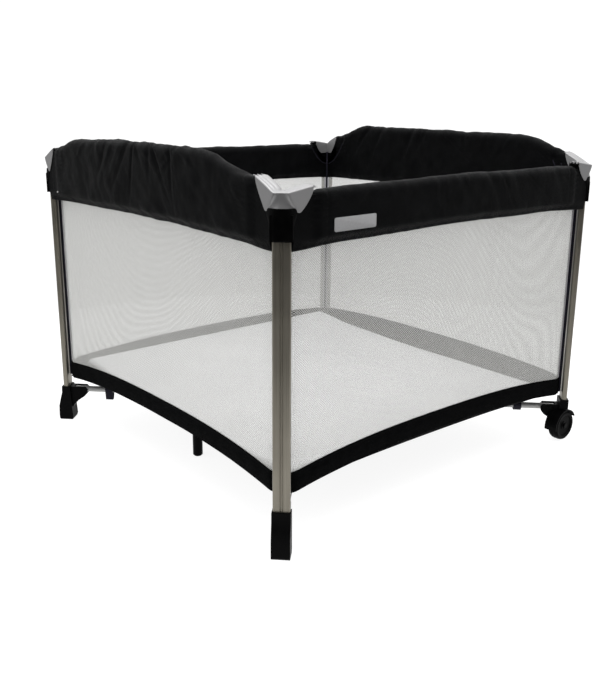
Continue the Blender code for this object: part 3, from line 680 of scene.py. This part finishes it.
def make_wall_half(k, side, end, sign):
    """Half a side's netting and band, the band's rolled edge, and the tape down the netting's end."""
    seed = 11.0 + 3 * k
    body = "corner_" + CORNERS[k if sign < 0 else (k + 1) % 4]
    outer = sign * (HALF - SEAM)
    inner = outer - sign * HEM_WIDTH

    def net_place(x, part):
        d, z = cloth_at(x, part)
        stir = wobble(x * 6, z * 5, seed)
        taut = ramp(part, 0.0, 0.2) * ramp(1 - part, 0.0, 0.2)
        return d + 0.003 * stir * taut * ramp(HALF - abs(x), 0.03, 0.12), z

    def band_place(x, part):
        d, z = cloth_at(x, part)
        loose = ramp(HALF - abs(x), 0.02, 0.1)
        wave = wobble(x * 9, 0.3, seed + 1)
        pucker = wobble(x * 38, part, seed + 2)
        d += loose * (0.0010 * pucker - 0.0018 * wave * part) - 0.0018 * sin(pi * part)
        return d + 0.0008, z - loose * part * (0.0022 * wave + 0.0008 * pucker)

    def edge_place(x, part):
        d, z = band_place(x, -0.001)
        return d + 0.0006 + 0.0008 * sin(pi * part), z + 0.0065 * (part - 0.7)

    def tape_place(x, part):
        d, z = cloth_at(x, part)
        return d + 0.0006, z

    piece = strip(k, side + "_net_" + end, body, (NET, "mesh_fabric"), spaced(inner, 0.0, 0.016),
                  spaced(-0.06, 1.0, 0.06), net_place, 0.0004)
    piece = strip(k, side + "_band_" + end, body, (BAND, "cover_fabric"), spaced(outer, 0.0, 0.006),
                  spaced(-1.0, 0.0, 0.1), band_place, 0.0014)
    strip(k, side + "_band_edge_" + end, body, (BAND, "cover_fabric"), spaced(outer, 0.0, 0.008),
          spaced(0.0, 1.0, 0.2), edge_place, 0.0030)
    strip(k, side + "_side_hem_" + end, body, (HEM, "mesh_fabric"),
          spaced(outer - sign * 0.002, inner, 0.003), spaced(0.0, 1.0, 0.06), tape_place, 0.0012)


def make_seam(k, node):
    """The dark binding that joins two sides' cloths inside corner k and runs back to the post."""
    place = corner_matrix(k)
    half = 0.0030
    outline = []
    for i in range(10):
        angle = pi * (i / 9 - 0.5)
        outline.append((-SEAM_REACH - half * cos(angle), half * sin(angle)))
    outline += [(-POST_BACK, 0.0007), (-POST_BACK, -0.0007)]
    bm = bmesh.new()
    rings = [[bm.verts.new(place @ diagonal_point(r, w, z)) for r, w in outline]
             for z in spaced(WALL_LOW.z + 0.004, 0.706, 0.012)]
    join_rings(bm, rings)
    close_ends(bm, rings)
    seam = bmesh_object("corner_seam_" + CORNERS[k], bm, 50)
    settle(seam, "corner_" + CORNERS[k], BINDING, "cover_fabric", (node,))


def make_piping():
    """The thin piping on the covers' inner faces, in a curve below each cap, parted where the covers are."""
    for k, corner in enumerate(CORNERS):
        place = corner_matrix(k)
        near = bmesh.new()
        front_or_back, left_or_right = corner.split("_")
        for swapped in (False, True):
            on_end = swapped != bool(k % 2)
            side, half = (left_or_right, front_or_back) if on_end else (front_or_back, left_or_right)
            far = bmesh.new()
            spans = ((near, SEAM + 0.004, COVER_SPLIT), (far, COVER_SPLIT, PIPING_END - 0.001))
            for bm, start, stop in spans:
                path = []
                for u in spaced(start, stop, 0.004):
                    x, y = (PIPING_INSIDE, u) if swapped else (u, PIPING_INSIDE)
                    path.append(place @ Vector((x, y, piping_height(u))))
                tube_mesh(bm, path, 0.0012)
            piping = bmesh_object("cover_piping_" + side + "_" + half, far, 60)
            settle(piping, side + "_rail_" + half, BINDING, "cover_fabric")
            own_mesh(piping)
        piping = bmesh_object("cover_piping_" + corner, near, 60)
        settle(piping, "corner_" + corner, BINDING, "cover_fabric")


# ---- floor cloth and mattress


def floor_point(x, y):
    """The floor cloth in its quarter: flat under the mattress, then up to the walls' lower edges."""
    z = (CLOTH_LOW.z + CLOTH_HIGH.z) / 2
    reach = max(abs(x), abs(y))
    if reach <= PAD_HALF:
        return x, y, z + 0.0012 * wobble(x * 9, y * 9, 4.0)
    share = (reach - PAD_HALF) / (RIM - PAD_HALF)
    d, edge = cloth_at(x if abs(y) > abs(x) else y, -1.0)
    wide = PAD_HALF + share * (HALF + d + 0.0010 - PAD_HALF)
    z += (edge + 0.0018 - z) * share ** 0.7
    return x * wide / reach, y * wide / reach, z


def make_floor_cloth():
    """The black sheet under the mattress, in four quarters, each on its own floor tube."""
    steps = [PAD_HALF * i / 14 for i in range(15)]
    steps += [PAD_HALF + (RIM - PAD_HALF) * i / 5 for i in range(1, 6)]
    for k, corner in enumerate(CORNERS):
        turn = Matrix.Rotation(k * pi / 2, 3, "Z")
        points = [turn @ Vector(floor_point(-x, -y)) for x in steps for y in steps]
        for p in points:
            reach, along = max(abs(p.x), abs(p.y)), min(abs(p.x), abs(p.y))
            share = min(1.0, max(0.0, (reach - PAD_HALF) / (HALF - 0.018 - PAD_HALF)))
            sag = 0.010 * ramp(HALF - along, 0.22, 0.08)
            if p.y == -reach:
                sag += 0.010 * ramp(HALF - along, 0.07, 0.20)
            p.z -= sag * sin(pi * share ** 0.8)
        piece = mesh_object("floor_cloth_" + corner, points, grid_faces(len(steps), len(steps), False))
        settle(piece, "floor_tube_" + corner, BAND, "floor_fabric", ("floor_cloth",))
        along = turn @ Vector((1, -1, 0)).normalized()
        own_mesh(piece)


def pad_top(x, y, width):
    """The pads' soft surface, with its rounded edges and the seams between pads of this width."""
    low, high = PAD_LOW, PAD_END
    edge = min(x - low.x, high.x - x, y - low.y, high.y - y)
    rounding = 0.0
    if edge < PAD_ROUND:
        rounding = PAD_ROUND - sqrt(max(0.0, PAD_ROUND ** 2 - (PAD_ROUND - edge) ** 2))
    soft = 0.0018 * wobble(x * 4.2, y * 4.2, 20.0) + 0.0005 * wobble(x * 15, y * 12, 24.0)
    seams = sum(0.0016 * dent(x - low.x - s * width, 0.006) for s in (1, 2, 3))
    return PAD_HIGH.z - 0.0052 - rounding + soft * ramp(edge, -0.03, 0.05) - seams


def pad_lift(y):
    """How far the pads ride up where they are pushed against the back wall."""
    return 0.011 * ramp(y, -0.05, PAD_HIGH.y) + 0.012 * ramp(y, 0.28, PAD_HIGH.y)


def make_mattress():
    """Four pads in one sleeve. Their top runs on unbroken from one to the next."""
    low, high = PAD_LOW, PAD_END
    width = (high.x - low.x) / 4
    base, top = low.z, PAD_HIGH.z
    ys = spaced(low.y, high.y, PAD_STEP)
    lift = np.array([pad_lift(y) for y in ys])
    for i, name in enumerate(("left", "middle_left", "middle_right", "right")):
        start = low.x + i * width
        upper = np.array([[(x, y * (1 + 0.050 * ramp(y, 0.20, high.y)), pad_top(x, y, width)) for y in ys]
                          for x in spaced(start, start + width, PAD_STEP)])
        lower = upper.copy()
        lower[..., 2] = np.minimum(base + top - 0.001 - upper[..., 2], upper[..., 2] - 0.004)
        lower[..., 2] = np.maximum(base + 0.0006, lower[..., 2])
        for face in (upper, lower):
            face[..., 2] += lift
        piece = closed_sheet("mattress_pad_" + name, upper, lower, 70)
        settle(piece, "mattress_" + name, MATTRESS, "mattress_fabric", ("mattress_panel_" + name,))
        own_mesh(piece)


# ---- mouldings and metal


def softened(node, name, width, body, slot="black_plastic"):
    """A black CAD moulding again, with its edges rounded over."""
    bm = bmesh.new()
    bm.from_mesh(frame["nodes"][node].data)
    bmesh.ops.remove_doubles(bm, verts=bm.verts, dist=0.00002)
    bmesh.ops.dissolve_limit(bm, angle_limit=radians(1.0), verts=bm.verts, edges=bm.edges)
    made = bmesh_object(name, bm, 30)
    assign(made.modifiers.new("bevel", "BEVEL"), width=width, segments=2, limit_method="ANGLE",
           angle_limit=radians(28), use_clamp_overlap=True, harden_normals=True)
    apply_modifiers(made)
    settle(made, body, BLACK, slot, (node,))


def post_ring():
    """The post's section as (r, w), with two round grooves down its outer face."""
    ring = []
    for centre in (-0.0022, 0.0022):
        for i in range(7):
            t = i / 6
            ring.append((POST_R - 0.0011 * sin(pi * t), centre + 0.0013 * (2 * t - 1)))
    return ring + rounded_outline(POST_R, POST_W, 0.0042, 5)


def make_post(k, corner):
    low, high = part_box("post_" + corner)
    place = corner_matrix(k)
    ring = post_ring()
    wall = 0.0018
    inner = [(r * (1 - wall / POST_R), w * (1 - wall / POST_W)) for r, w in ring]
    bm = bmesh.new()
    levels = ((low.z, inner), (low.z, ring), (low.z + 0.02, ring), (high.z - 0.02, ring), (high.z, ring),
              (high.z, inner))
    loops = [[bm.verts.new(place @ diagonal_point(r, w, z)) for r, w in outline] for z, outline in levels]
    join_rings(bm, loops + loops[:1])
    post = bmesh_object("post_section_" + corner, bm, 32)
    settle(post, "corner_" + corner, ALUMINIUM, "post_metal", ("post_" + corner,))


# Stations along a cap's arm, from its slanted end to the nose: along and height of the lower edge, then
# of the ridge. The arm on a climbing side rises, and the one on a level side hardly does.
CAP_FACE = 0.0212
CAP_INNER = 0.0092
CAP_NOSE_TOP = 0.7330
CAP_CLIMBING = (
    (0.0520, 0.7520, 0.0535, 0.7582),
    (0.0475, 0.7395, 0.0450, 0.7545),
    (0.0393, 0.7230, 0.0330, 0.7490),
    (0.0300, 0.7075, 0.0170, 0.7412),
    (0.0250, 0.6990, 0.0050, 0.7350),
    (0.0222, 0.6975, -0.0012, CAP_NOSE_TOP),
    (0.0170, 0.6985, -0.0024, CAP_NOSE_TOP - 0.0006),
)
CAP_LEVEL = (
    (0.0578, 0.7345, 0.0583, 0.7412),
    (0.0520, 0.7225, 0.0470, 0.7396),
    (0.0430, 0.7100, 0.0340, 0.7378),
    (0.0345, 0.7010, 0.0180, 0.7353),
    (0.0290, 0.6962, 0.0050, 0.7338),
    (0.0256, 0.6948, -0.0012, CAP_NOSE_TOP),
    (0.0200, 0.6962, -0.0024, CAP_NOSE_TOP - 0.0006),
)
# How strong the ribs are at each station, and their profile across the top: share of the way and height.
CAP_STRENGTH = (1.0, 1.0, 1.0, 0.9, 0.55, 0.25, 0.1)
CAP_RIBS = ((0.0, 0.0), (0.07, 0.0021), (0.15, 0.0022), (0.25, 0.0006), (0.35, 0.0022), (0.44, 0.0022),
            (0.55, 0.0005), (0.66, 0.0021), (0.76, 0.0020), (0.88, 0.0008), (1.0, 0.0))


def cap_arm(stations):
    """Sections round one arm and half of the nose: four corners each, and how strong the ribs are."""
    sections = []
    for i, (low_x, low_z, top_x, top_z) in enumerate(stations):
        turning = i == len(stations) - 1
        outer_low = (low_x, -CAP_FACE + (0.0004 if turning else 0.0), low_z)
        outer_top = (top_x, -CAP_FACE + (0.0022 if turning else 0.0), top_z)
        inner_top = (max(top_x, CAP_INNER + 0.0040 - 0.0006 * i), CAP_INNER, top_z + 0.001)
        inner_low = (max(low_x, CAP_INNER + 0.0100), CAP_INNER, max(low_z, 0.7035))
        sections.append((outer_low, outer_top, inner_top, inner_low, CAP_STRENGTH[i]))
    beside_nose = ((0.0035, -0.0182, 0.7008), (-0.0056, -0.0142, CAP_NOSE_TOP - 0.0004),
                   (CAP_INNER + 0.0008, CAP_INNER, CAP_NOSE_TOP + 0.0015),
                   (CAP_INNER + 0.0040, CAP_INNER, 0.7040), 0.05)
    return sections + [beside_nose]


def cap_section(outer_low, outer_top, inner_top, inner_low, ribbed):
    """One section's points: up the outer face, over the ribbed top and down the inner face."""
    outer_low, outer_top, inner_top, inner_low = map(Vector, (outer_low, outer_top, inner_top, inner_low))
    points = []
    for share in (0.0, 0.06, 0.25, 0.5, 0.75, 0.94):
        dip = 0.0013 * max(0.0, 1 - 4 * ribbed) * sin(pi * share)
        bowed = 0.75 * share * (1 - share) * (outer_top - outer_low) + dip * Vector((1, 1, 0))
        points.append(outer_low.lerp(outer_top, share) + Vector((bowed.x, bowed.y, 0)))
    for share, rise in CAP_RIBS:
        height = rise * ribbed + 0.0016 * (1 - ribbed) * sin(pi * share)
        points.append(outer_top.lerp(inner_top, share) + Vector((0, 0, height)))
    return points + [inner_top.lerp(inner_low, share) for share in (0.08, 0.5, 0.92, 1.0)]


def make_cap(k, corner):
    """A cap from one arm round its nose to the other arm."""
    place = corner_matrix(k)
    along_x, along_y = (CAP_CLIMBING, CAP_LEVEL) if k % 2 else (CAP_LEVEL, CAP_CLIMBING)
    nose = ((-0.0122, -0.0122, 0.7035), (-0.0098, -0.0098, CAP_NOSE_TOP),
            (CAP_INNER, CAP_INNER, CAP_NOSE_TOP + 0.0020), (CAP_INNER, CAP_INNER, 0.7045), 0.0)
    sections = [cap_section(*section) for section in cap_arm(along_x) + [nose]]
    for section in reversed(cap_arm(along_y)):
        sections.append([Vector((p.y, p.x, p.z)) for p in cap_section(*section)])
    bm = bmesh.new()
    join_rings(bm, [[bm.verts.new(place @ p) for p in section] for section in sections], closed=False)
    cap = thin_shell("cap_" + corner, bm, Vector((0, 0, 1)), 0.0016, 2, 0.7)
    settle(cap, "corner_" + corner, SILVER, "grey_plastic", ("corner_cap_" + corner,))


def make_cap_tongues(k, corner):
    """The three ribs of each arm run on a little over the cover."""
    place = corner_matrix(k)
    bm = bmesh.new()
    for swapped in (False, True):
        rises = swapped != bool(k % 2)
        start, height, slope = (0.0500, 0.7572, 0.45) if rises else (0.0550, 0.7408, 0.06)
        for y in (-0.0178, -0.0090, 0.0003):
            path = []
            for i in range(6):
                x, z = start + 0.0022 * i, height + slope * 0.0022 * i - 0.0001 * i * i
                path.append(place @ Vector((y, x, z) if swapped else (x, y, z)))
            tube_mesh(bm, path, 0.0011)
    tongues = bmesh_object("cap_tongues_" + corner, bm, 60)
    settle(tongues, "corner_" + corner, SILVER, "grey_plastic")


def make_apron(k, corner):
    """The housing's smooth outer face: wide under the cap, then drawn in to the collar round the post."""
    place = corner_matrix(k)
    low = HOUSING_BOTTOM - 0.0006
    bm = bmesh.new()
    rows = []
    for z in [low, low + 0.0012, low + 0.0035, low + 0.008] + spaced(low + 0.014, 0.7045, 0.0045):
        flare = ramp(z, 0.664, 0.704)
        rounding = 0.0045 * (1 - min(1.0, (z - low) / 0.0045)) ** 2
        half_w = 0.0226 + 0.0072 * flare - rounding
        front = 0.0138 + 0.0014 * flare - 0.3 * rounding
        back = 0.0045 - 0.0055 * flare
        row = []
        for i in range(25):
            t = sin((i / 12 - 1) * pi / 2)
            r = front - (front - back) * abs(t) ** (7.0 - 4.6 * flare)
            row.append(bm.verts.new(place @ diagonal_point(r, half_w * t, z)))
        rows.append(row)
    join_rings(bm, rows, closed=False)
    outward = place.to_3x3() @ Vector((-1, -1, 0))
    apron = thin_shell("housing_apron_" + corner, bm, outward, 0.0012, 1)
    settle(apron, "corner_" + corner, BLACK, "black_plastic", ("corner_housing_" + corner,))


def make_studs():
    """The small bright rivets that hold the crowned covers' ends."""
    profile = ((0.0, 0.0011), (0.0009, 0.0010), (0.0017, 0.0006), (0.0021, 0.0), (0.0021, -0.003))
    for k in (1, 3):
        corner = CORNERS[k]
        place = corner_matrix(k) @ Matrix.Translation((0.0700, -0.0236, 0.649))
        bm = bmesh.new()
        rings = turned(bm, profile, 16, lambda x, out, z: place @ Vector((x, -out, z)))
        join_rings(bm, rings)
        bm.faces.new(rings[-1])
        bmesh.ops.remove_doubles(bm, verts=bm.verts, dist=0.00001)
        settle(bmesh_object("cover_stud_" + corner, bm), "corner_" + corner, ZINC, "axle_steel")


def make_wheel(corner):
    """A wheel with a rounded tread, a dished face and a hub, round the CAD wheel's axis."""
    low, high = WHEEL_BOX[corner]
    centre = (low + high) / 2
    radius = (high.z - low.z) / 2
    half = (high.y - low.y) / 2
    sign = -1 if centre.y < 0 else 1
    bore = 0.0043
    face = ((bore, 0.004), (0.0075, 0.004), (0.0085, 0.003), (0.0115, 0.003), (0.0125, 0.0045),
            (0.0275, 0.0040), (0.0290, 0.0012), (0.0320, 0.0002), (0.0355, 0.0004), (0.0380, 0.0022))
    tread = [(radius - 0.0006, half - 0.0055), (radius, half - 0.0095), (radius, 0.0035),
             (radius - 0.0012, 0.0025)]
    profile = [(r, half - depth) for r, depth in face] + tread + [(r, -out) for r, out in reversed(tread)]
    profile += [(0.0375, 0.0012 - half), (0.030, 0.0002 - half), (bore, 0.0002 - half)]
    bm = bmesh.new()
    rings = turned(bm, profile, 96, lambda x, out, z: centre + Vector((x, sign * out, z)))
    join_rings(bm, rings + rings[:1])
    wheel = bmesh_object("wheel_moulding_" + corner, bm, 32)
    settle(wheel, "wheel_" + corner, TYRE, "wheel_plastic", ("wheel_" + corner,))


def make_straps():
    """The webbing tabs that tie the lower corners down to the floor tubes."""
    for k, corner in enumerate(CORNERS):
        place = corner_matrix(k)
        drop = 0.013 if corner == "front_right" else 0.0285
        path = [(0.45 * STRAP_LOOP, TUBE_Z - drop), (0.7 * STRAP_LOOP, TUBE_Z - drop / 2)]
        path += [(STRAP_LOOP * cos(pi * i / 12), TUBE_Z + STRAP_LOOP * sin(pi * i / 12)) for i in range(13)]
        path += [(-0.7 * STRAP_LOOP, TUBE_Z - drop / 2), (-0.05 * STRAP_LOOP, TUBE_Z - drop)]
        path = [Vector(p) for p in path]
        bm = bmesh.new()
        rings = []
        for i, near in enumerate(path):
            ahead = path[min(i + 1, len(path) - 1)] - path[max(i - 1, 0)]
            far = near + Vector((ahead.y, -ahead.x)).normalized() * STRAP_THICK
            ring = ((near, -STRAP_W), (near, STRAP_W), (far, STRAP_W), (far, -STRAP_W))
            rings.append([bm.verts.new(place @ diagonal_point(r - STRAP_REACH, p.x, p.y)) for p, r in ring])
        join_rings(bm, rings)
        close_ends(bm, rings)
        strap = bmesh_object("tie_strap_" + corner, bm, 40)
        settle(strap, "floor_tube_" + corner, BINDING, "cover_fabric")


def make_label():
    """A plain pale woven patch on the front cover."""
    outline = rounded_outline(0.055, 0.0135, 0.004, 4)
    bm = bmesh.new()
    rings = []
    for scale, d in ((1.0, 0.0238), (1.0, 0.0246), (0.97, 0.0250)):
        ring = [(LABEL_X + x * scale, d, LABEL_Z + z * scale) for x, z in outline]
        rings.append([bm.verts.new(side_point(0, *p)) for p in ring])
    join_rings(bm, rings)
    close_ends(bm, rings)
    label = bmesh_object("plain_label", bm, 30)
    settle(label, "front_rail_left", LABEL, "mesh_fabric")
    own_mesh(label)


def make_mouldings():
    for k, corner in enumerate(CORNERS):
        body = "corner_" + corner
        make_post(k, corner)
        make_cap(k, corner)
        make_cap_tongues(k, corner)
        make_apron(k, corner)
        softened("corner_housing_" + corner, "housing_" + corner, 0.0011, body)
        if corner in WHEELED:
            softened("wheel_bracket_" + corner, "bracket_" + corner, 0.0009, body)
            softened("wheel_axle_" + corner, "axle_" + corner, 0.0005, body, "axle_steel")
            make_wheel(corner)
        else:
            softened("foot_" + corner, "plain_foot_" + corner, 0.0014, body)
    for side in ("left", "right"):
        softened("support_leg_" + side, "leg_" + side, 0.0012, "support_arm_" + side)
    softened("floor_hub", "hub_moulding", 0.0012, "hub")


def paint_cad():
    """The CAD nodes that still show get the scene's materials."""
    looks = {"tube_steel": COATED, "black_plastic": BLACK, "button_plastic": SILVER, "cover_fabric": BINDING,
             "axle_steel": ZINC}
    slots = {s["node"]: s["material_slot"] for s in frame["record"]["subparts"]}
    for name, obj in frame["nodes"].items():
        material = looks.get(slots.get(name))
        if not material or obj.hide_render:
            continue
        for entry in obj.material_slots:
            entry.material = material
        if not obj.material_slots:
            obj.data.materials.append(material)


# ---- stage, light and camera

BEHIND_CAMERA = (-0.64, -0.77, 0.0)


def make_stage():
    bpy.context.scene.view_settings.view_transform = "Standard"
    bpy.ops.mesh.primitive_circle_add(vertices=96, radius=1.6, fill_type="NGON", location=(0, 0, 0))
    floor = bpy.context.object
    floor.name = "studio_floor"
    floor.data.materials.append(studio_floor())
    bpy.context.scene.world = studio_world()


def studio_floor():
    """Partly lit from within, so that it is near white and shadows on it stay faint."""
    paint = Paint("studio_floor", Roughness=0.8, Specular_IOR_Level=0.0, Emission_Color=(1.0, 1.0, 1.0, 1.0),
                  Emission_Strength=0.90)
    paint.blend_colours(paint.noise(3, 2), (0.22, 0.22, 0.22), (0.23, 0.23, 0.23))
    return paint.material


def studio_world():
    """White behind everything. As a light it is brighter from above than from behind the camera."""
    world = bpy.data.worlds.new("studio")
    world.use_nodes = True
    sky = Nodes(world.node_tree)
    place = sky.node("TexCoord", {})["Generated"]
    up = sky.node("SeparateXYZ", {0: place})["Z"]
    facing = sky.node("VectorMath", {0: place, 1: BEHIND_CAMERA}, operation="DOT_PRODUCT")["Value"]
    above = sky.spread(up, -0.1, 0.8, 0.50, 2.1, interpolation_type="SMOOTHSTEP")
    behind = sky.spread(facing, 0.0, 0.9, 1.0, 0.12, interpolation_type="SMOOTHSTEP")
    light = sky.math("MULTIPLY", above, behind)
    seen = sky.node("LightPath", {})["Is Camera Ray"]
    background = sky.tree.nodes["Background"].inputs
    strength = sky.node("Mix", {"Factor": seen, 2: light, 3: 1.1}, data_type="FLOAT")[0]
    sky.link(strength, background["Strength"])
    background["Color"].default_value = (1.0, 1.0, 1.0, 1.0)
    return world


def make_lamp(name, place, target, size, energy):
    light = bpy.data.lights.new(name, "AREA")
    lamp = linked(name, assign(light, shape="RECTANGLE", size=size[0], size_y=size[1], energy=energy))
    lamp.location = place
    lamp.rotation_euler = (Vector(target) - Vector(place)).to_track_quat("-Z", "Y").to_euler()


def make_lights():
    make_lamp("overhead", (-0.4, -0.6, 3.2), (0, 0, 0.4), (2.6, 2.6), 68)
    make_lamp("left_fill", (-3.0, 0.4, 1.7), (0, 0, 0.4), (1.8, 1.8), 9)
    make_lamp("front_fill", (0.6, -3.2, 1.6), (0, 0, 0.5), (1.8, 1.6), 2.0)


def make_camera():
    """The photo's camera, solved from the posts, feet and caps."""
    yaw, pitch, roll = radians(50.016), radians(15.47), radians(0.398)
    ahead = Vector((cos(pitch) * cos(yaw), cos(pitch) * sin(yaw), -sin(pitch)))
    right = ahead.cross(Vector((0, 0, 1))).normalized()
    up = right.cross(ahead)
    right, up = right * cos(roll) + up * sin(roll), up * cos(roll) - right * sin(roll)
    turn = Matrix((right, up, -ahead)).transposed()
    data = bpy.data.cameras.new("camera")
    camera = linked("camera", assign(data, lens=44.06, sensor_width=36.0, shift_y=-0.0383))
    camera.matrix_world = Matrix.Translation((-1.453, -1.697, 0.917)) @ turn.to_4x4()
    bpy.context.scene.camera = camera


def main():
    make_camera()
    make_covers()
    make_piping()
    make_walls()
    make_floor_cloth()
    make_mattress()
    make_mouldings()
    make_studs()
    make_straps()
    make_label()
    paint_cad()
    make_stage()
    make_lights()


main()
